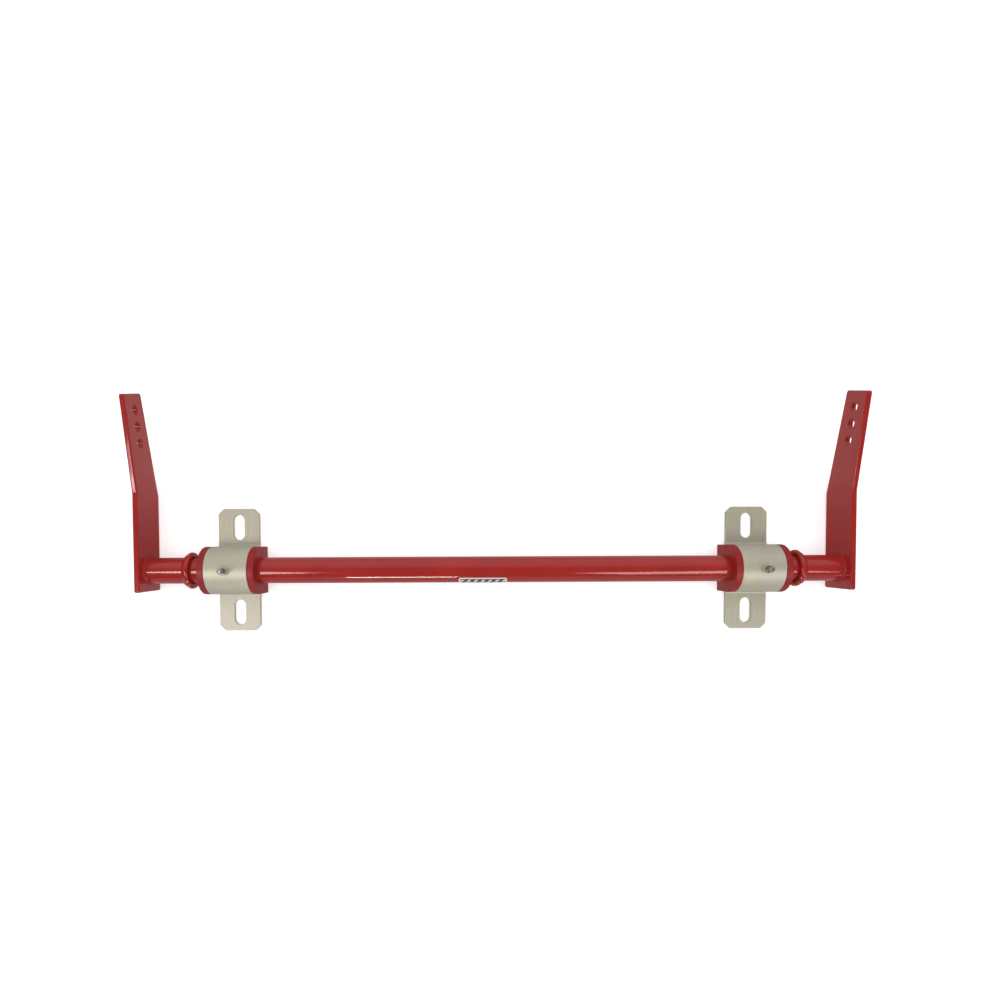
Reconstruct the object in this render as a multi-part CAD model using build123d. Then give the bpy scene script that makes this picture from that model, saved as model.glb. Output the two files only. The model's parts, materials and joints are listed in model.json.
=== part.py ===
from build123d import *

import os
from math import cos, degrees, hypot, radians, sin

# A tubular sway bar with flat plate arms, and the two greased bushing sets that hold it. Millimetres.
# X runs along the bar, +Y from the bar towards the end-link holes, +Z away from the vehicle frame.

# Frame: the bar's axis stands at (AXIS_Y, AXIS_Z), so that the origin is under the middle of the box.
AXIS_Y = -67.5
AXIS_Z = 27.3

# Tube
TUBE_RADIUS = 15.875
TUBE_WALL = 4.76
INNER_SPAN = 838.2

# Arms: a plate that stands square across the end of the tube and leans upward beyond its kink
PLATE_THICKNESS = 6.35
ARM_WIDTH = 50.8
ARM_HEEL = 25.4
KINK_Y = 92.0
LEAN = 15.0
LEAN_LENGTH = 118.5
TIP_WIDTH = 38.1
CORNER_RADIUS = 2.5
KINK_RADIUS = 14.0
PLATE_EDGE_RADIUS = 1.8
LINK_HOLE_RADIUS = 5.7
LINK_HOLE_RIM = 0.4
LINK_HOLE_FROM_TIP = 18.7
LINK_HOLE_PITCH = 19.05
LINK_HOLE_COUNT = 3
ARM_WELD_ALONG = 2.6
ARM_WELD_UP = 1.8
ARM_WELD_CROWN = -0.2

# Stop rings: rod rolled round the tube, with its ends meeting at RING_JOINT_ANGLE from +Z towards -Y.
# One fillet joins each ring to the tube, on the side that faces the arm.
RING_X = 366.7
ROD_RADIUS = 3.175
RING_JOINT_ANGLE = 52.0
RING_JOINT_GAP = 2.4
RING_JOINT_CROWN = 0.45
RING_WELD_ALONG = 4.2
RING_WELD_TOP_ANGLE = 35.0
RING_WELD_CROWN = 0.7
RING_WELD_ROOT = 1.6

# Label: a thin curved sheet on the tube, a panel that runs on as a stripe, with angles from +Z towards -Y
LABEL_LENGTH = 105.0
LABEL_X = 10.0
LABEL_FROM = 38.0
LABEL_TO = 108.0
LABEL_THICKNESS = 0.12
LABEL_CORNER = 2.5
LABEL_PANEL_LENGTH = 58.0
LABEL_STRIPE_FROM = 77.0

# Bushing: SIDE_PLAY is how far the bar can shift sideways before a stop ring meets the bushing
SIDE_PLAY = 12.7
BORE_CLEARANCE = 0.06
FLANGE_RADIUS = 29.0
BUSHING_LENGTH = 66.7
BUSHING_EDGE_RADIUS = 1.0
SLIT_WIDTH = 0.8
GREASE_HOLE_RADIUS = 2.0
GREASE_GROOVE = (52.0, 3.0, 1.2)
GREASE_RING_X = 17.0
GREASE_RING_WIDTH = 2.5
GREASE_RING_DEPTH = 0.9

# Bracket
STRAP_WIDTH = 50.8
STRAP_THICKNESS = 4.76
STRAP_CLEARANCE = 0.3
BRACKET_LENGTH = 152.4
EAR_LIFT = 2.7
EAR_CHAMFER = 6.8
BEND_RADIUS = 3.2
STRAP_EDGE_RADIUS = 0.5
SLOT_SPACING = 106.0
SLOT_LENGTH = 31.75
SLOT_WIDTH = 14.3

# Grease fitting, in heights above the crown of the strap
THREAD_RADIUS = 3.175
BOSS_RADIUS = 5.1
BOSS_HEIGHT = 4.6
BOSS_EDGE = 0.5
SHANK_DEPTH = 4.0
HEX_RADIUS = 4.58
HEX_HEIGHT = 4.4
HEX_CHAMFER = 0.5
NECK_RADIUS = 2.3
NECK_HEIGHT = 1.5
HEAD_RADIUS = 3.3
HEAD_FLARE = 1.2
HEAD_BARREL = 1.5
HEAD_TAPER = 2.9
HEAD_BULGE = 0.4
SHOULDER = 1.0
MOUTH_RIM_RADIUS = 1.9
MOUTH_RADIUS = 0.85
PASSAGE_RADIUS = 1.0
CHAMBER_RADIUS = 1.4
CHAMBER_LENGTH = 8.5
BALL_RADIUS = 1.2
BALL_CLEARANCE = 0.05
BALL_SEAT_DEPTH = 0.9
SPRING_COIL_RADIUS = 0.95
SPRING_WIRE_RADIUS = 0.2
SPRING_TURNS = 6

ARM_FACE_X = INNER_SPAN / 2
RING_CENTRE_RADIUS = TUBE_RADIUS + ROD_RADIUS
RING_INNER_REACH = ROD_RADIUS + RING_JOINT_CROWN
BUSHING_X = RING_X - RING_INNER_REACH - SIDE_PLAY - BUSHING_LENGTH / 2
ARCH_INNER = FLANGE_RADIUS - STRAP_THICKNESS
EAR_UNDERSIDE = AXIS_Z - EAR_LIFT
HEX_BASE = FLANGE_RADIUS + BOSS_HEIGHT
FITTING_TOP = HEX_BASE + HEX_HEIGHT + NECK_HEIGHT + HEAD_FLARE + HEAD_BARREL + HEAD_TAPER
CHAMBER_TOP = FITTING_TOP - BALL_SEAT_DEPTH
CHAMBER_FLOOR = CHAMBER_TOP - CHAMBER_LENGTH


def prism(section, length):
    """A solid along X, centred on X = 0, from a section drawn in Y and Z."""
    return extrude(Plane.YZ * section, amount=length / 2, both=True)


def x_cylinder(radius, length):
    """A cylinder along the X axis, centred on the origin."""
    return Rot(0, 90, 0) * Cylinder(radius, length)


def rounded(section, corners, radius):
    """The section with its corners nearest to the given points filleted."""
    picked = [section.vertices().sort_by_distance(Vector(*corner))[0] for corner in corners]
    return fillet(picked, radius)


def turned(outline):
    """A solid of revolution about X, from a closed outline of (x, radius) points or edges."""
    return revolve(make_face(outline), Axis.X, 360)


def tube():
    """The bar's round tube, open at both ends, which the arms close."""
    return x_cylinder(TUBE_RADIUS, INNER_SPAN) - x_cylinder(TUBE_RADIUS - TUBE_WALL, INNER_SPAN)


def along_lean(distance, across=0.0):
    """The (y, z) point at a distance past the kink along the leaning centreline, and across it."""
    lean = radians(LEAN)
    y = KINK_Y + distance * cos(lean) - across * sin(lean)
    z = distance * sin(lean) + across * cos(lean)
    return (y, z)


def arm():
    """The right-hand arm plate, with its inner face at X = ARM_FACE_X."""
    half = ARM_WIDTH / 2
    heel = [(-ARM_HEEL, -half), (-ARM_HEEL, half)]
    kinks = [(KINK_Y, half), (KINK_Y, -half)]
    tips = [along_lean(LEAN_LENGTH, TIP_WIDTH / 2), along_lean(LEAN_LENGTH, -TIP_WIDTH / 2)]
    outline = make_face(Polyline(*heel, kinks[0], *tips, kinks[1], close=True))
    outline = rounded(outline, heel + tips, CORNER_RADIUS)
    outline = rounded(outline, kinks, KINK_RADIUS)
    plate = prism(outline, PLATE_THICKNESS)
    faces = plate.faces().sort_by(Axis.X)
    plate = fillet(faces[0].edges() + faces[-1].edges(), PLATE_EDGE_RADIUS)
    for index in range(LINK_HOLE_COUNT):
        y, z = along_lean(LEAN_LENGTH - LINK_HOLE_FROM_TIP - index * LINK_HOLE_PITCH)
        plate -= Pos(0, y, z) * x_cylinder(LINK_HOLE_RADIUS, 2 * PLATE_THICKNESS)
        for face_x in (-PLATE_THICKNESS / 2, PLATE_THICKNESS / 2):
            rim = Cone(LINK_HOLE_RADIUS, LINK_HOLE_RADIUS + LINK_HOLE_RIM, LINK_HOLE_RIM)
            turn = 90 if face_x > 0 else -90
            inset = face_x * (1 - LINK_HOLE_RIM / PLATE_THICKNESS)
            plate -= Pos(inset, y, z) * Rot(0, turn, 0) * rim
    return Pos(ARM_FACE_X + PLATE_THICKNESS / 2, 0, 0) * plate


def crowned(toe, top, crown):
    """A bead's surface between two (x, radius) points, swollen by crown, or hollow if it is negative."""
    run = top[0] - toe[0]
    rise = top[1] - toe[1]
    swell = crown / hypot(run, rise)
    outward = 1 if run > 0 else -1
    middle = ((toe[0] + top[0]) / 2 - outward * rise * swell, (toe[1] + top[1]) / 2 + outward * run * swell)
    return ThreePointArc(toe, middle, top)


def arm_weld():
    """The fillet weld where the tube meets the right-hand arm's inner face, a little hollow."""
    toe = (ARM_FACE_X - ARM_WELD_ALONG, TUBE_RADIUS)
    root = (ARM_FACE_X, TUBE_RADIUS)
    top = (ARM_FACE_X, TUBE_RADIUS + ARM_WELD_UP)
    return turned([Line(toe, root), Line(root, top), crowned(toe, top, ARM_WELD_CROWN)])


def joint_turn(shape, angle):
    """The shape turned about X, from +Z towards -Y."""
    return Rot(angle, 0, 0) * shape


def stop_ring():
    """The right-hand ring: rod in a circle that is open by the joint's gap."""
    gap = degrees(RING_JOINT_GAP / RING_CENTRE_RADIUS)
    section = Plane.XZ * Pos(RING_X, RING_CENTRE_RADIUS) * Circle(ROD_RADIUS)
    ring = revolve(section, Axis.X, 360 - gap)
    return joint_turn(ring, RING_JOINT_ANGLE + gap / 2)


def ring_weld():
    """The right-hand ring's outboard fillet, and the blob that closes the rod's joint."""
    toe = (RING_X + ROD_RADIUS + RING_WELD_ALONG, TUBE_RADIUS)
    climb = radians(RING_WELD_TOP_ANGLE)
    top = (RING_X + ROD_RADIUS * cos(climb), RING_CENTRE_RADIUS + ROD_RADIUS * sin(climb))
    core = (RING_X + RING_WELD_ROOT, RING_CENTRE_RADIUS)
    root = (RING_X + RING_WELD_ROOT, TUBE_RADIUS)
    outline = [Line(top, core), Line(core, root), Line(root, toe), crowned(toe, top, RING_WELD_CROWN)]
    rod = Pos(RING_X, RING_CENTRE_RADIUS) * Circle(ROD_RADIUS)
    bead = revolve(make_face(outline) - rod, Axis.X, 360)
    gap = degrees(RING_JOINT_GAP / RING_CENTRE_RADIUS)
    section = Pos(RING_X, RING_CENTRE_RADIUS) * Circle(ROD_RADIUS + RING_JOINT_CROWN)
    section -= Pos(RING_X, TUBE_RADIUS / 2) * Rectangle(4 * ROD_RADIUS, TUBE_RADIUS)
    blob = joint_turn(revolve(Plane.XZ * section, Axis.X, gap), RING_JOINT_ANGLE - gap / 2)
    return bead + blob


def tube_label():
    """The label: a curved sheet that lies on the tube, taller over its left-hand panel."""
    outer = x_cylinder(TUBE_RADIUS + LABEL_THICKNESS, LABEL_LENGTH)
    sheet = outer - x_cylinder(TUBE_RADIUS, LABEL_LENGTH)
    middle = (LABEL_FROM + LABEL_TO) / 2
    low, high = (-TUBE_RADIUS * sin(radians(angle - middle)) for angle in (LABEL_TO, LABEL_FROM))
    stripe_top = -TUBE_RADIUS * sin(radians(LABEL_STRIPE_FROM - middle))
    panel_x = (LABEL_PANEL_LENGTH - LABEL_LENGTH) / 2
    panel = Pos(panel_x, (low + high) / 2) * RectangleRounded(LABEL_PANEL_LENGTH, high - low, LABEL_CORNER)
    stripe_y = (low + stripe_top) / 2
    stripe = Pos(0, stripe_y) * RectangleRounded(LABEL_LENGTH, stripe_top - low, LABEL_CORNER)
    cutter = extrude(panel + stripe, amount=2 * TUBE_RADIUS)
    return Pos(LABEL_X, 0, 0) * joint_turn(sheet & cutter, middle)


def d_section(radius, drop):
    """A D in Y and Z: a half disc on the bar's axis over a straight-sided foot that reaches down by drop."""
    crown = Circle(radius) & Pos(0, radius / 2) * Rectangle(2 * radius, radius)
    return crown + Pos(0, -drop / 2) * Rectangle(2 * radius, drop)


def bushing():
    """The flanged D-shaped bushing, slit at its base, with its grease hole and grooves."""
    bore = TUBE_RADIUS + BORE_CLEARANCE
    seat = ARCH_INNER - STRAP_CLEARANCE
    body = prism(d_section(FLANGE_RADIUS, AXIS_Z), BUSHING_LENGTH)
    ends = body.faces().sort_by(Axis.X)
    body = fillet(ends[0].edges() + ends[-1].edges(), BUSHING_EDGE_RADIUS)
    around = d_section(FLANGE_RADIUS + 1, AXIS_Z + 1) - d_section(seat, AXIS_Z + 1)
    body -= prism(around, STRAP_WIDTH + 2 * STRAP_CLEARANCE)
    body -= x_cylinder(bore, BUSHING_LENGTH)
    body -= Pos(0, 0, -AXIS_Z / 2) * Box(BUSHING_LENGTH, SLIT_WIDTH, AXIS_Z)
    groove_length, groove_width, groove_depth = GREASE_GROOVE
    body -= Pos(0, 0, bore) * Box(groove_length, groove_width, 2 * groove_depth)
    for x in (-GREASE_RING_X, GREASE_RING_X):
        body -= Pos(x, 0, 0) * x_cylinder(bore + GREASE_RING_DEPTH, GREASE_RING_WIDTH)
    return body - Pos(0, 0, (bore + FLANGE_RADIUS) / 2) * Cylinder(GREASE_HOLE_RADIUS, FLANGE_RADIUS - bore)


def bracket():
    """The strap bent over the bushing, with a slotted ear on each side and a tapped hole in its crown."""
    ears = Pos(0, STRAP_THICKNESS / 2 - EAR_UNDERSIDE) * Rectangle(BRACKET_LENGTH, STRAP_THICKNESS)
    section = d_section(FLANGE_RADIUS, EAR_UNDERSIDE) + ears
    section -= d_section(ARCH_INNER, EAR_UNDERSIDE + 1)
    top = STRAP_THICKNESS - EAR_UNDERSIDE
    section = rounded(section, [(-FLANGE_RADIUS, top), (FLANGE_RADIUS, top)], BEND_RADIUS)
    under = [(-ARCH_INNER, -EAR_UNDERSIDE), (ARCH_INNER, -EAR_UNDERSIDE)]
    section = rounded(section, under, BEND_RADIUS + STRAP_THICKNESS)
    strap = prism(section, STRAP_WIDTH)
    corners = strap.edges().filter_by(Axis.Z).group_by(lambda edge: round(abs(edge.center().Y), 3))[-1]
    strap = chamfer(corners, EAR_CHAMFER)
    sides = strap.faces().sort_by(Axis.X)
    strap = fillet(sides[0].edges() + sides[-1].edges(), STRAP_EDGE_RADIUS)
    for side in (-1, 1):
        slot = Rot(0, 0, 90) * SlotOverall(SLOT_LENGTH, SLOT_WIDTH)
        cutter = extrude(slot, amount=STRAP_THICKNESS + 2)
        strap -= Pos(0, side * SLOT_SPACING / 2, -EAR_UNDERSIDE - 1) * cutter
    return strap - Pos(0, 0, FLANGE_RADIUS) * Cylinder(THREAD_RADIUS, 3 * STRAP_THICKNESS)


def fitting_boss():
    """The tapped boss, saddled onto the crown of the strap."""
    bottom = ARCH_INNER
    height = HEX_BASE - bottom
    boss = Pos(0, 0, bottom + height / 2) * Cylinder(BOSS_RADIUS, height)
    boss = chamfer(boss.edges().sort_by(Axis.Z)[-1], BOSS_EDGE)
    boss -= x_cylinder(FLANGE_RADIUS, 4 * BOSS_RADIUS)
    return boss - Pos(0, 0, bottom + height / 2) * Cylinder(THREAD_RADIUS, height)


def grease_fitting():
    """The grease nipple: a shank in the strap, a hexagon, a neck and a rounded head."""
    neck_base = HEX_BASE + HEX_HEIGHT
    head_base = neck_base + NECK_HEIGHT
    barrel_base = head_base + HEAD_FLARE
    barrel_top = barrel_base + HEAD_BARREL
    shank_end = FLANGE_RADIUS - SHANK_DEPTH
    outline = Polyline(
        (0, shank_end),
        (THREAD_RADIUS, shank_end),
        (THREAD_RADIUS, neck_base - SHOULDER),
        (NECK_RADIUS, neck_base),
        (NECK_RADIUS, head_base),
        (HEAD_RADIUS, barrel_base),
        (HEAD_RADIUS, barrel_top),
    )
    slope = HEAD_BULGE / hypot(HEAD_TAPER, HEAD_RADIUS - MOUTH_RIM_RADIUS)
    bulge = (
        (HEAD_RADIUS + MOUTH_RIM_RADIUS) / 2 + HEAD_TAPER * slope,
        (barrel_top + FITTING_TOP) / 2 + (HEAD_RADIUS - MOUTH_RIM_RADIUS) * slope,
    )
    dome = ThreePointArc((HEAD_RADIUS, barrel_top), bulge, (MOUTH_RIM_RADIUS, FITTING_TOP))
    lid = Polyline((MOUTH_RIM_RADIUS, FITTING_TOP), (0, FITTING_TOP), (0, shank_end))
    body = revolve(Plane.XZ * make_face(outline.edges() + dome.edges() + lid.edges()), Axis.Z, 360)
    hexagon = extrude(RegularPolygon(HEX_RADIUS, 6), amount=HEX_HEIGHT)
    cap = Pos(0, 0, HEX_HEIGHT / 2) * Cylinder(HEX_RADIUS, HEX_HEIGHT)
    cap = chamfer(cap.edges().filter_by(GeomType.CIRCLE), HEX_CHAMFER)
    body += Pos(0, 0, HEX_BASE) * (hexagon & cap)
    body -= Pos(0, 0, (shank_end + CHAMBER_FLOOR) / 2) * Cylinder(PASSAGE_RADIUS, CHAMBER_FLOOR - shank_end)
    body -= Pos(0, 0, CHAMBER_FLOOR + CHAMBER_LENGTH / 2) * Cylinder(CHAMBER_RADIUS, CHAMBER_LENGTH)
    return body - Pos(0, 0, CHAMBER_TOP) * Cylinder(MOUTH_RADIUS, 4 * BALL_SEAT_DEPTH)


def ball_height():
    """The height of the ball's centre when it rests just under the mouth's edge."""
    reach = (BALL_RADIUS**2 - MOUTH_RADIUS**2) ** 0.5
    return CHAMBER_TOP - reach - BALL_CLEARANCE


def check_ball():
    """The ball that closes the fitting's mouth."""
    return Pos(0, 0, ball_height()) * Sphere(BALL_RADIUS)


def fitting_spring():
    """The coil spring that holds the ball up, from the chamber's floor to just under the ball."""
    foot = CHAMBER_FLOOR + SPRING_WIRE_RADIUS + BALL_CLEARANCE
    contact = (BALL_RADIUS**2 - SPRING_COIL_RADIUS**2) ** 0.5
    top = ball_height() - contact - 2 * SPRING_WIRE_RADIUS
    path = Helix((top - foot) / SPRING_TURNS, top - foot, SPRING_COIL_RADIUS, center=(0, 0, foot))
    section = Plane(path @ 0, z_dir=path % 0) * Circle(SPRING_WIRE_RADIUS)
    return sweep(section, path)


def save(name, shape):
    """Write one node, moved from the bar's axis to its place in the frame."""
    export_step(Pos(0, AXIS_Y, AXIS_Z) * shape, f"parts/{name}.step")


os.makedirs("parts", exist_ok=True)

save("tube", tube())
save("tube_label", tube_label())

mirrored_pieces = {"arm": arm(), "arm_weld": arm_weld(), "stop_ring": stop_ring(), "ring_weld": ring_weld()}
for name, shape in mirrored_pieces.items():
    save(f"right_{name}", shape)
    save(f"left_{name}", mirror(shape, about=Plane.YZ))

set_pieces = {
    "bushing": bushing(),
    "bracket": bracket(),
    "fitting_boss": fitting_boss(),
    "grease_fitting": grease_fitting(),
    "fitting_spring": fitting_spring(),
    "check_ball": check_ball(),
}
for name, shape in set_pieces.items():
    for side, sign in (("left", -1), ("right", 1)):
        save(f"{side}_{name}", Pos(sign * BUSHING_X, 0, 0) * shape)
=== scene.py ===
import json
import math

import bmesh
import bpy
from mathutils import Matrix, Vector, noise


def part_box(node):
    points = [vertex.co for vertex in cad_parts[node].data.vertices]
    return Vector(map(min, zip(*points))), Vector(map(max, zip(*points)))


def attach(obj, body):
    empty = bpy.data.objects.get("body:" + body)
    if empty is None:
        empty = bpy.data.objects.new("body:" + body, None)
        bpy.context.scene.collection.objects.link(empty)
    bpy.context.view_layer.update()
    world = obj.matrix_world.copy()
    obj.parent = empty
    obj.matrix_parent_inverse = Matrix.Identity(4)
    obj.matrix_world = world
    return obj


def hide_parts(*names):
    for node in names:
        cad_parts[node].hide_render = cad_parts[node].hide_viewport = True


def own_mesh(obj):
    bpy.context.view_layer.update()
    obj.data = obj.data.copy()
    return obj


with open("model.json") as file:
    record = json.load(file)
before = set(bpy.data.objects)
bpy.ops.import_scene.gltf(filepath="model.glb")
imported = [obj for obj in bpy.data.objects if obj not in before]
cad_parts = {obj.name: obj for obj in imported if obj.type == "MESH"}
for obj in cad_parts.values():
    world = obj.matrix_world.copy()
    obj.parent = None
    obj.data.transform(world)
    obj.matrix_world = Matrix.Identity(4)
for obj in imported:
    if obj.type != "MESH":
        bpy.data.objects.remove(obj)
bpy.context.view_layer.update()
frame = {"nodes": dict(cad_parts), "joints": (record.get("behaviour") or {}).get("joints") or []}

JOINTS = {joint["name"]: joint for joint in frame["joints"]}
MM = 0.001
SIDES = (("left", -1), ("right", 1))

# The bar's axis at mid-length, and the tube's radius, from the frame
AXIS = Vector((0, *JOINTS["left_bushing_turn"]["pos_m"][1:]))
TUBE_LOW, TUBE_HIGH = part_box("tube")
TUBE_RADIUS = (TUBE_HIGH.z - TUBE_LOW.z) / 2
ARM_FACE_X = TUBE_HIGH.x

# Camera: its place from the bar's axis at mid-length in metres, and its tilt and roll in degrees
CAMERA_FROM_AXIS = Vector((-0.0392, 0.0260, 0.7253))
CAMERA_TILT = -1.80
CAMERA_ROLL = -0.255
CAMERA_LENS = 21.43
CAMERA_SENSOR = 36.0
CAMERA_SHIFT = (0.0385, 0.0668)

# Grey of the reflected studio, by angle in degrees from overhead towards +Y
STUDIO_STOPS = (
    (-90, 0.10),
    (-82, 0.75),
    (-72, 0.75),
    (-66, 0.08),
    (-20, 0.04),
    (10, 0.04),
    (42, 0.95),
    (90, 1.0),
)
# Lights that show only as highlights: name, place, size along X and across, and power
HIGHLIGHTS = (
    ("left_box", (-0.725, -0.40, 1.06), (0.53, 0.28), 3.9),
    ("left_edge_box", (-1.015, -0.29, 1.06), (0.20, 0.42), 1.0),
    ("right_box", (0.74, -0.77, 1.06), (0.72, 0.42), 5.4),
    ("front_strip", (-0.205, -0.97, 0.40), (0.31, 0.14), 2.6),
)
# Grey of the surround as a light, by height in the sky
SKY_STOPS = ((0.0, 0.55), (0.5, 0.85), (1.0, 1.1))
SURROUND_STRENGTH = 0.80
# Grey of the floor as a bounced light and as a reflection
FLOOR_BOUNCED = 0.92
FLOOR_REFLECTED = 0.50
# The shaded corners at the arms: how far they reach along the bar, where they start and how deep they are
# along Y from the bar's axis, and the grey across that depth
CORNER_WIDTH = 0.12
CORNER_START = -0.04
CORNER_DEPTH = 0.16
CORNER_STOPS = ((0.0, 0.50), (0.14, 0.46), (0.28, 0.12), (0.46, 0.12), (0.80, 0.34), (1.0, 0.50))
# The floor's own glow, and its size and height in metres
FLOOR_GLOW = 0.45
FLOOR_SIZE = 30
FLOOR_HEIGHT = -0.0002
# The overhead light, and how far from mid-length the highlights' lights aim, as a share of their own place
OVERHEAD_PLACE = (0.0, 0.1, 2.2)
OVERHEAD_SIZE = (2.6, 2.6)
OVERHEAD_POWER = 14
HIGHLIGHT_AIM = 0.4

# The label's print, as distances along it from its left end and round the tube from its upper edge
LABEL_FIRST_ANGLE = math.radians(38)
LABEL_BLOCK_PITCH = 8.5 * MM
LABEL_BLOCK_SHARE = 0.62
LABEL_SLANT = 0.6
LABEL_PANEL = (1.9 * MM, 56.1 * MM)
LABEL_DEPTH = (1.7 * MM, 17.6 * MM)
LABEL_BLOCKS = (3.2 * MM, 8.4 * MM)
LABEL_RULE = (59.5 * MM, 102.5 * MM)
LABEL_RULE_DEPTH = (13.4 * MM, 15.2 * MM)

# The weld beads' swell (negative is hollow), and the height and number of their ripples
ARM_BEAD_CROWN = -0.2 * MM
ARM_BEAD_RIPPLE = 0.03 * MM
ARM_BEAD_RIPPLES = 56
RING_BEAD_CROWN = 0.7 * MM
RING_BEAD_RIPPLE = 0.10 * MM
RING_BEAD_RIPPLES = 50
# How far a bead's edges sink into the pieces it joins, how deep its root lies, and how its mesh is divided
BEAD_SINK = 0.03 * MM
BEAD_ROOT_DEPTH = 0.2 * MM
BEAD_SECTION_STEPS = 12
BEAD_STEPS_A_RIPPLE = 10
# How much a bead's swell wanders round the bar, and how finely
BEAD_SWELL_WANDER = 0.22
BEAD_WANDER_ROUND = 3
# A ripple's roundness (smaller is blunter), how far it trails at the bead's edges in radians of its phase,
# the height of its grain as a share of its own, and the fineness of the grain and of the edges' wavering
BEAD_RIPPLE_ROUNDNESS = 0.7
BEAD_RIPPLE_TRAIL = 2.4
BEAD_GRAIN = 0.4
BEAD_GRAIN_ROUND = 40
BEAD_GRAIN_ACROSS = 4
BEAD_EDGE_ROUND = 12
# The angle of the rings' joints, how much the weld swells there, and how far to each side in radians
RING_JOINT = math.radians(52)
RING_JOINT_LUMP = 0.8
RING_JOINT_LUMP_REACH = 0.22
# The blob over a ring's joint: how far it stands past the rod along the bar and outwards, half its length
# round the bar in radians, and the height and fineness of its lumps and ripples on a ball of radius 1
BLOB_ALONG = 0.55 * MM
BLOB_OUT = 0.45 * MM
BLOB_HALF_TURN = 0.17
BLOB_LUMP = 0.05
BLOB_LUMP_FINENESS = 2.3
BLOB_RIPPLE = 0.012
BLOB_RIPPLE_FINENESS = 14


# --- Node helpers -----------------------------------------------------------------------------


def add(tree, kind, settings=None, inputs=None):
    """A new shader node, with its settings, and its inputs as values or as sockets to link."""
    made = tree.nodes.new(kind)
    for key, value in (settings or {}).items():
        setattr(made, key, value)
    for key, value in (inputs or {}).items():
        if isinstance(value, bpy.types.NodeSocket):
            tree.links.new(value, made.inputs[key])
        else:
            made.inputs[key].default_value = value
    return made


def new_material(name):
    """An empty material with a Principled shader. Returns the material, its tree and the shader."""
    material = bpy.data.materials.new(name)
    material.use_nodes = True
    tree = material.node_tree
    tree.nodes.clear()
    shader = add(tree, "ShaderNodeBsdfPrincipled")
    add(tree, "ShaderNodeOutputMaterial", inputs={"Surface": shader.outputs["BSDF"]})
    return material, tree, shader


def object_point(tree, stretch=(1, 1, 1)):
    """The point on the object at rest, in metres, stretched along its axes."""
    coords = add(tree, "ShaderNodeTexCoord")
    mapping = add(tree, "ShaderNodeMapping", inputs={"Vector": coords.outputs["Object"], "Scale": stretch})
    return mapping.outputs["Vector"]


def noise_value(tree, point, scale, detail=3.0, roughness=0.5, distortion=0.0):
    """Noise from 0 to 1, with scale in features per metre."""
    made = add(
        tree,
        "ShaderNodeTexNoise",
        inputs={
            "Vector": point,
            "Scale": scale,
            "Detail": detail,
            "Roughness": roughness,
            "Distortion": distortion,
        },
    )
    return made.outputs["Fac"]


def ramp(tree, factor, stops):
    """Colours, or greys given as numbers, spread over a factor. Stops are (position, colour)."""
    made = add(tree, "ShaderNodeValToRGB", inputs={"Fac": factor})
    elements = made.color_ramp.elements
    while len(elements) < len(stops):
        elements.new(0.5)
    for element, (position, colour) in zip(elements, stops):
        element.position = position
        element.color = (colour, colour, colour, 1) if isinstance(colour, (int, float)) else (*colour, 1)
    return made.outputs["Color"]


def mix(tree, factor, first, second, blend="MIX"):
    """Two colours mixed."""
    made = add(tree, "ShaderNodeMix", {"data_type": "RGBA", "blend_type": blend})
    for socket, value in ((0, factor), (6, first), (7, second)):
        if isinstance(value, bpy.types.NodeSocket):
            tree.links.new(value, made.inputs[socket])
        else:
            made.inputs[socket].default_value = value
    return made.outputs[2]


def math_node(tree, operation, first, second=0.0, third=0.0):
    """One arithmetic node."""
    made = add(tree, "ShaderNodeMath", {"operation": operation})
    for socket, value in zip(made.inputs, (first, second, third)):
        if isinstance(value, bpy.types.NodeSocket):
            tree.links.new(value, socket)
        else:
            socket.default_value = value
    return made.outputs[0]


def between(tree, value, low, high):
    """One where the value lies between the limits, and zero elsewhere."""
    above = math_node(tree, "GREATER_THAN", value, low)
    return math_node(tree, "MULTIPLY", above, math_node(tree, "LESS_THAN", value, high))


def bump(tree, height, strength, distance, below=None):
    """A bump from a height, laid over another bump's normal if one is given."""
    inputs = {"Height": height, "Strength": strength, "Distance": distance}
    if below is not None:
        inputs["Normal"] = below
    return add(tree, "ShaderNodeBump", inputs=inputs).outputs["Normal"]


def wire(tree, shader, **sockets):
    """Links or sets the shader's sockets, named with underscores for spaces."""
    for key, value in sockets.items():
        socket = shader.inputs[key.replace("_", " ")]
        if isinstance(value, bpy.types.NodeSocket):
            tree.links.new(value, socket)
        else:
            socket.default_value = value


# --- Materials --------------------------------------------------------------------------------


def powder_coat(name, skin_weight, skin_roughness):
    """Red powder coat: faint mottling, orange peel and a clear flowed skin, thinner and duller in corners."""
    material, tree, shader = new_material(name)
    point = object_point(tree)
    cloud = noise_value(tree, point, 26, detail=4, roughness=0.6)
    grain = noise_value(tree, point, 900, detail=2)
    colour = ramp(tree, cloud, [(0.3, (0.36, 0.019, 0.016)), (0.7, (0.42, 0.024, 0.020))])
    speck = ramp(tree, grain, [(0.35, 0.93), (0.6, 1.0)])
    colour = mix(tree, 1.0, colour, speck, "MULTIPLY")
    gloss = ramp(tree, noise_value(tree, point, 90, detail=3), [(0.3, 0.30), (0.7, 0.42)])
    peel = noise_value(tree, point, 420, detail=1.5, roughness=0.4)
    dust = noise_value(tree, point, 2600, detail=1)
    normal = bump(tree, peel, 0.10, 0.00020)
    normal = bump(tree, dust, 0.04, 0.00006, normal)
    wire(tree, shader, Base_Color=colour, Roughness=gloss, Normal=normal)
    wire(tree, shader, Specular_IOR_Level=0.06, Coat_Weight=skin_weight, Coat_Roughness=skin_roughness)
    return material


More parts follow.
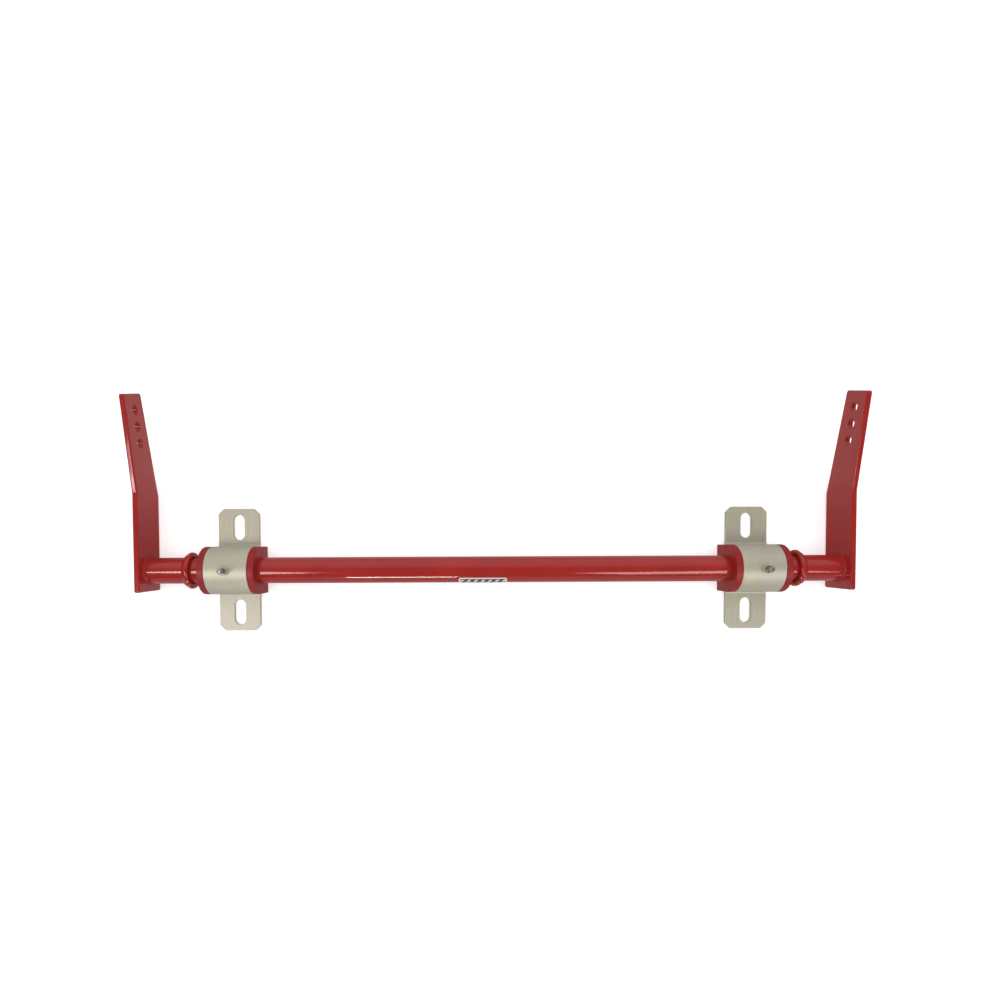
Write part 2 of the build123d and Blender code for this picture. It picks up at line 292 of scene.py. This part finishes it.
def polyurethane():
    """Deep red moulded polyurethane: satin, with flow marks and a faint bloom."""
    material, tree, shader = new_material("polyurethane")
    point = object_point(tree)
    flow = noise_value(tree, object_point(tree, (1, 2.5, 2.5)), 45, detail=5, roughness=0.6, distortion=0.6)
    colour = ramp(tree, flow, [(0.3, (0.28, 0.011, 0.011)), (0.72, (0.37, 0.016, 0.015))])
    bloom = ramp(tree, noise_value(tree, point, 240, detail=4), [(0.45, 0.0), (0.9, 0.10)])
    colour = mix(tree, bloom, colour, (0.34, 0.06, 0.05, 1))
    gloss = ramp(tree, noise_value(tree, point, 130, detail=4), [(0.3, 0.38), (0.7, 0.52)])
    skin = noise_value(tree, point, 700, detail=3)
    normal = bump(tree, skin, 0.18, 0.0002)
    wire(tree, shader, Base_Color=colour, Roughness=gloss, Normal=normal)
    wire(tree, shader, Subsurface_Weight=0.12, Subsurface_Scale=0.003, Specular_IOR_Level=0.28)
    shader.inputs["Subsurface Radius"].default_value = (1.0, 0.25, 0.2)
    return material


def zinc_plate():
    """Zinc plate with a pale passivation: rolled streaks along the strap, and drifting yellow-green tints."""
    material, tree, shader = new_material("zinc_plate")
    point = object_point(tree)
    streak = noise_value(tree, object_point(tree, (1, 0.035, 0.035)), 1500, detail=5, roughness=0.65)
    tint = noise_value(tree, point, 38, detail=3, roughness=0.6, distortion=0.8)
    base = ramp(
        tree,
        tint,
        [
            (0.28, (0.63, 0.54, 0.43)),
            (0.44, (0.58, 0.55, 0.46)),
            (0.60, (0.60, 0.57, 0.42)),
            (0.76, (0.55, 0.54, 0.45)),
        ],
    )
    line = ramp(tree, streak, [(0.30, 0.82), (0.55, 0.97), (0.8, 1.04)])
    colour = mix(tree, 1.0, base, line, "MULTIPLY")
    spangle = noise_value(tree, point, 420, detail=2)
    gloss = math_node(tree, "MULTIPLY_ADD", streak, 0.20, 0.36)
    gloss = math_node(tree, "MULTIPLY_ADD", spangle, 0.10, gloss)
    normal = bump(tree, streak, 0.16, 0.00012)
    normal = bump(tree, spangle, 0.05, 0.0002, normal)
    wire(tree, shader, Base_Color=colour, Roughness=gloss, Normal=normal, Metallic=0.45)
    return material


def turned_steel(name, low, high, rough, ring_scale):
    """Bright machined steel with fine turning rings round the fitting's axis."""
    material, tree, shader = new_material(name)
    point = object_point(tree)
    rings = noise_value(tree, object_point(tree, (0.02, 0.02, 1)), ring_scale, detail=3, roughness=0.6)
    stain = noise_value(tree, point, 300, detail=4)
    colour = mix(tree, stain, (*low, 1), (*high, 1))
    gloss = math_node(tree, "MULTIPLY_ADD", rings, 0.18, rough)
    normal = bump(tree, rings, 0.12, 0.00005)
    wire(tree, shader, Base_Color=colour, Roughness=gloss, Normal=normal, Metallic=1.0)
    return material


def label_film():
    """Printed vinyl without lettering: a dark panel of slanted blocks with a pale border, and a stripe."""
    material, tree, shader = new_material("label_film")
    low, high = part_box("tube_label")
    coords = add(tree, "ShaderNodeTexCoord")
    parts = add(tree, "ShaderNodeSeparateXYZ", inputs={"Vector": coords.outputs["Object"]})
    along = math_node(tree, "SUBTRACT", parts.outputs["X"], low.x)
    out = math_node(tree, "SUBTRACT", AXIS.y, parts.outputs["Y"])
    up = math_node(tree, "SUBTRACT", parts.outputs["Z"], AXIS.z)
    angle = math_node(tree, "ARCTAN2", out, up)
    across = math_node(tree, "MULTIPLY", math_node(tree, "SUBTRACT", angle, LABEL_FIRST_ANGLE), TUBE_RADIUS)
    slanted = math_node(tree, "MULTIPLY_ADD", across, LABEL_SLANT, along)
    block = math_node(tree, "FRACT", math_node(tree, "DIVIDE", slanted, LABEL_BLOCK_PITCH))
    gap = math_node(tree, "GREATER_THAN", block, LABEL_BLOCK_SHARE)
    gap = math_node(tree, "MULTIPLY", gap, between(tree, across, *LABEL_BLOCKS))
    length = between(tree, along, *LABEL_PANEL)
    panel = math_node(tree, "MULTIPLY", length, between(tree, across, *LABEL_DEPTH))
    panel = math_node(tree, "MULTIPLY", panel, math_node(tree, "SUBTRACT", 1.0, gap))
    length = between(tree, along, *LABEL_RULE)
    rule = math_node(tree, "MULTIPLY", length, between(tree, across, *LABEL_RULE_DEPTH))
    dark = math_node(tree, "MAXIMUM", panel, rule)
    ink = noise_value(tree, object_point(tree), 1500, detail=2)
    pale = ramp(tree, ink, [(0.3, (0.84, 0.76, 0.73)), (0.7, (0.90, 0.84, 0.81))])
    colour = mix(tree, dark, pale, (0.075, 0.055, 0.050, 1))
    normal = bump(tree, ink, 0.05, 0.00005)
    wire(tree, shader, Base_Color=colour, Roughness=0.34, Normal=normal, Coat_Weight=0.3)
    return material


def dress(node_name, material):
    """Gives a CAD node its finished material."""
    mesh = frame["nodes"][node_name].data
    mesh.materials.clear()
    mesh.materials.append(material)


# --- Weld beads -------------------------------------------------------------------------------


def bead(mesh, toe, top, crown, ripple, ripples, seed, lump=None):
    """Adds a closed rippled fillet round the bar's axis to a bmesh.

    toe and top are the (x, radius) ends of its section, crown is its swell, ripple is the height of its
    waves, and lump is the angle where the weld overlaps its own start."""
    steps = ripples * BEAD_STEPS_A_RIPPLE
    across = Vector((top[0] - toe[0], top[1] - toe[1]))
    outward = Vector((-across.y, across.x)).normalized()
    if outward.y < 0:
        outward = -outward
    root = Vector((top[0], toe[1] - BEAD_ROOT_DEPTH))
    rings = []
    for step in range(steps):
        angle = 2 * math.pi * step / steps
        ring = []
        turned = Vector((math.cos(angle) * BEAD_WANDER_ROUND, math.sin(angle) * BEAD_WANDER_ROUND, seed))
        swell = 1.0 + BEAD_SWELL_WANDER * noise.noise(turned)
        if lump is not None:
            off = math.atan2(math.sin(angle - lump), math.cos(angle - lump))
            swell += RING_JOINT_LUMP * math.exp(-((off / RING_JOINT_LUMP_REACH) ** 2))
        for index in range(BEAD_SECTION_STEPS + 1):
            part = index / BEAD_SECTION_STEPS
            point = Vector(toe).lerp(Vector(top), part)
            bow = math.sin(math.pi * part)
            phase = ripples * angle + BEAD_RIPPLE_TRAIL * (2 * part - 1) ** 2 + seed
            wave = abs(math.sin(phase / 2)) ** BEAD_RIPPLE_ROUNDNESS
            grain = noise.noise(Vector((angle * BEAD_GRAIN_ROUND, part * BEAD_GRAIN_ACROSS, seed + 7)))
            point += outward * bow * (crown * swell + ripple * (wave - 0.5 + BEAD_GRAIN * grain))
            edge = ripple * noise.noise(Vector((angle * BEAD_EDGE_ROUND, part, seed + 3)))
            point += across.normalized() * edge * (1 - bow)
            ring.append(place(mesh, point, angle))
        ring.append(place(mesh, root, angle))
        rings.append(ring)
    width = BEAD_SECTION_STEPS + 2
    for step in range(steps):
        ring, following = rings[step], rings[(step + 1) % steps]
        for index in range(width):
            after = (index + 1) % width
            mesh.faces.new((ring[index], ring[after], following[after], following[index]))
        for corner in (0, BEAD_SECTION_STEPS, BEAD_SECTION_STEPS + 1):
            mesh.edges.get((ring[corner], following[corner])).smooth = False


def place(mesh, point, angle):
    """A vertex at (x, radius) turned about the bar's axis, from +Z towards -Y."""
    x, radius = point
    return mesh.verts.new((x, AXIS.y - radius * math.sin(angle), AXIS.z + radius * math.cos(angle)))


def finish_mesh(name, mesh, material, body, stands_for):
    """Turns a bmesh into a smooth-shaded piece that rides on a body in place of CAD nodes."""
    bmesh.ops.recalc_face_normals(mesh, faces=mesh.faces)
    for face in mesh.faces:
        face.smooth = True
    data = bpy.data.meshes.new(name)
    mesh.to_mesh(data)
    mesh.free()
    data.materials.append(material)
    piece = bpy.data.objects.new(name, data)
    bpy.context.scene.collection.objects.link(piece)
    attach(piece, body)
    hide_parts(*stands_for)
    return piece


def arm_bead(side, sign, material):
    """The rippled fillet between the tube and one arm."""
    low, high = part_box(f"{side}_arm_weld")
    leg = high.x - low.x
    reach = (high.z - low.z) / 2
    mesh = bmesh.new()
    toe = (sign * (ARM_FACE_X - leg), TUBE_RADIUS - BEAD_SINK)
    top = (sign * (ARM_FACE_X + BEAD_SINK), reach)
    seed = 3.1 if sign > 0 else 8.4
    bead(mesh, toe, top, ARM_BEAD_CROWN, ARM_BEAD_RIPPLE, ARM_BEAD_RIPPLES, seed)
    finish_mesh(f"{side}_arm_weld_bead", mesh, material, "bar", [f"{side}_arm_weld"])


def ring_bead(side, sign, material):
    """The fillet on a stop ring's outboard side and the blob over the ring's joint."""
    ring_low, ring_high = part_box(f"{side}_stop_ring")
    weld_low, weld_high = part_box(f"{side}_ring_weld")
    middle = (ring_low.x + ring_high.x) / 2
    rod = (ring_high.x - ring_low.x) / 2
    centre = TUBE_RADIUS + rod
    toe_x = weld_high.x if sign > 0 else weld_low.x
    top_radius = (weld_high.z - weld_low.z) / 2
    climb = math.asin((top_radius - centre) / rod)
    mesh = bmesh.new()
    toe = (toe_x, TUBE_RADIUS - BEAD_SINK)
    top = (middle + sign * (rod * math.cos(climb) - BEAD_SINK), top_radius)
    seed = 1.7 + sign
    bead(mesh, toe, top, RING_BEAD_CROWN, RING_BEAD_RIPPLE, RING_BEAD_RIPPLES, seed, lump=RING_JOINT)
    blob(mesh, middle, centre, rod, RING_JOINT, sign)
    finish_mesh(f"{side}_ring_weld_bead", mesh, material, "bar", [f"{side}_ring_weld"])


def blob(mesh, middle, centre, rod, angle, seed):
    """Adds the knotted blob of weld that closes the ring's joint."""
    made = bmesh.ops.create_icosphere(mesh, subdivisions=4, radius=1.0)
    for vertex in made["verts"]:
        local = vertex.co.copy()
        grain = 1 + BLOB_LUMP * noise.noise(local * BLOB_LUMP_FINENESS + Vector((seed, 0, 5)))
        ripple = 1 + BLOB_RIPPLE * math.sin(local.x * BLOB_RIPPLE_FINENESS)
        x = middle + local.x * (rod + BLOB_ALONG) * grain
        radius = centre + local.z * (rod + BLOB_OUT) * grain * ripple
        turn = angle + local.y * BLOB_HALF_TURN * grain
        vertex.co = (x, AXIS.y - radius * math.sin(turn), AXIS.z + radius * math.cos(turn))


# --- Grease fitting's spring ------------------------------------------------------------------


def pressed_spring(side, material):
    """A copy of the fitting's spring, with its own mesh, riding on the bracket's body in place of the CAD
    spring.
    """
    name = f"{side}_fitting_spring"
    piece = bpy.data.objects.new(f"{name}_coil", frame["nodes"][name].data.copy())
    bpy.context.scene.collection.objects.link(piece)
    piece.data.materials.clear()
    piece.data.materials.append(material)
    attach(piece, f"{side}_bracket_body")
    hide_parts(name)
    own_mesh(piece)


# --- Scene ------------------------------------------------------------------------------------


def make_camera():
    """The camera, above the bar and a little left of its middle."""
    data = bpy.data.cameras.new("camera")
    data.sensor_width = CAMERA_SENSOR
    data.lens = CAMERA_LENS
    data.shift_x, data.shift_y = CAMERA_SHIFT
    camera = bpy.data.objects.new("camera", data)
    tilt = Matrix.Rotation(math.radians(CAMERA_TILT), 4, "X")
    turn = tilt @ Matrix.Rotation(math.radians(CAMERA_ROLL), 4, "Z")
    camera.matrix_world = Matrix.Translation(AXIS + CAMERA_FROM_AXIS) @ turn
    bpy.context.scene.collection.objects.link(camera)
    bpy.context.scene.camera = camera


def area_light(name, place_at, aim, size, power, glossy_only=False):
    """A soft rectangular light, its first side along X. A glossy-only one shows just as a highlight."""
    data = bpy.data.lights.new(name, "AREA")
    data.shape = "RECTANGLE"
    data.size, data.size_y = size
    data.energy = power
    light = bpy.data.objects.new(name, data)
    light.location = place_at
    light.rotation_euler = (Vector(aim) - Vector(place_at)).to_track_quat("-Z", "Y").to_euler()
    light.visible_diffuse = not glossy_only
    light.visible_glossy = glossy_only
    bpy.context.scene.collection.objects.link(light)


def make_surround():
    """A white surround, dimmer towards the horizon as a light. Reflections see a studio instead: dark over
    the object, a white wall behind it and a thin low line in front of it."""
    world = bpy.data.worlds.new("surround")
    world.use_nodes = True
    world.cycles.sampling_method = "NONE"
    bpy.context.scene.world = world
    tree = world.node_tree
    tree.nodes.clear()
    coords = add(tree, "ShaderNodeTexCoord")
    parts = add(tree, "ShaderNodeSeparateXYZ", inputs={"Vector": coords.outputs["Generated"]})
    angle = math_node(tree, "ARCTAN2", parts.outputs["Y"], parts.outputs["Z"])
    turn = math_node(tree, "MULTIPLY_ADD", angle, 1 / math.pi, 0.5)
    stops = [((degrees + 90) / 180, grey) for degrees, grey in STUDIO_STOPS]
    studio = ramp(tree, turn, stops)
    sky = ramp(tree, parts.outputs["Z"], SKY_STOPS)
    path = add(tree, "ShaderNodeLightPath")
    white = 1 / SURROUND_STRENGTH
    colour = mix(tree, path.outputs["Is Diffuse Ray"], (white, white, white, 1), sky)
    colour = mix(tree, path.outputs["Is Glossy Ray"], colour, studio)
    shade = add(tree, "ShaderNodeBackground", inputs={"Color": colour, "Strength": SURROUND_STRENGTH})
    add(tree, "ShaderNodeOutputWorld", inputs={"Surface": shade.outputs["Background"]})


def reflected_floor(tree):
    """The floor's grey in reflections, darker where the tube and an arm shade it."""
    coords = add(tree, "ShaderNodeTexCoord")
    parts = add(tree, "ShaderNodeSeparateXYZ", inputs={"Vector": coords.outputs["Object"]})
    inwards = math_node(tree, "SUBTRACT", math_node(tree, "ABSOLUTE", parts.outputs["X"]), ARM_FACE_X)
    away = math_node(tree, "DIVIDE", math_node(tree, "ABSOLUTE", inwards), CORNER_WIDTH)
    sideways = math_node(tree, "SUBTRACT", parts.outputs["Y"], AXIS.y + CORNER_START)
    corner = ramp(tree, math_node(tree, "DIVIDE", sideways, CORNER_DEPTH), CORNER_STOPS)
    clear = (FLOOR_REFLECTED, FLOOR_REFLECTED, FLOOR_REFLECTED, 1)
    return mix(tree, math_node(tree, "MINIMUM", away, 1.0), corner, clear)


def make_stage():
    """A plain pale floor and soft studio light."""
    bpy.ops.mesh.primitive_plane_add(size=FLOOR_SIZE, location=(0, 0, FLOOR_HEIGHT))
    floor = bpy.context.object
    floor.name = "floor"
    material, tree, shader = new_material("floor")
    wire(tree, shader, Base_Color=(0.93, 0.93, 0.93, 1), Roughness=1.0, Specular_IOR_Level=0.0)
    wire(tree, shader, Emission_Color=(1, 1, 1, 1), Emission_Strength=FLOOR_GLOW)
    path = add(tree, "ShaderNodeLightPath")
    bounced = math_node(tree, "MAXIMUM", path.outputs["Is Glossy Ray"], path.outputs["Is Diffuse Ray"])
    evenly = (FLOOR_BOUNCED, FLOOR_BOUNCED, FLOOR_BOUNCED, 1)
    grey = mix(tree, path.outputs["Is Glossy Ray"], evenly, reflected_floor(tree))
    dull = add(tree, "ShaderNodeEmission", inputs={"Color": grey})
    shaders = {0: bounced, 1: shader.outputs["BSDF"], 2: dull.outputs["Emission"]}
    blend = add(tree, "ShaderNodeMixShader", inputs=shaders)
    output = next(node for node in tree.nodes if node.type == "OUTPUT_MATERIAL")
    tree.links.new(blend.outputs["Shader"], output.inputs["Surface"])
    floor.data.materials.append(material)
    bpy.context.scene.view_settings.view_transform = "Standard"
    area_light("overhead", OVERHEAD_PLACE, (0, 0, 0), OVERHEAD_SIZE, OVERHEAD_POWER)
    for name, place_at, size, power in HIGHLIGHTS:
        aim = AXIS + Vector((place_at[0] * HIGHLIGHT_AIM, 0, 0))
        area_light(name, place_at, aim, size, power, glossy_only=True)


def main():
    make_camera()
    make_surround()
    make_stage()
    coat = powder_coat("powder_coat", 0.95, 0.06)
    corner_coat = powder_coat("powder_coat_in_corners", 0.2, 0.30)
    rubber = polyurethane()
    zinc = zinc_plate()
    fitting = turned_steel("fitting_steel", (0.34, 0.34, 0.31), (0.46, 0.46, 0.42), 0.34, 5000)
    spring = turned_steel("spring_steel", (0.32, 0.32, 0.33), (0.45, 0.45, 0.46), 0.3, 9000)
    ball = turned_steel("ball_steel", (0.62, 0.62, 0.63), (0.70, 0.70, 0.71), 0.08, 2000)
    label = label_film()
    dress("tube", coat)
    dress("tube_label", label)
    for side, sign in SIDES:
        dress(f"{side}_arm", coat)
        dress(f"{side}_stop_ring", coat)
        dress(f"{side}_bushing", rubber)
        dress(f"{side}_bracket", zinc)
        dress(f"{side}_fitting_boss", zinc)
        dress(f"{side}_grease_fitting", fitting)
        pressed_spring(side, spring)
        dress(f"{side}_check_ball", ball)
        arm_bead(side, sign, corner_coat)
        ring_bead(side, sign, coat)


main()
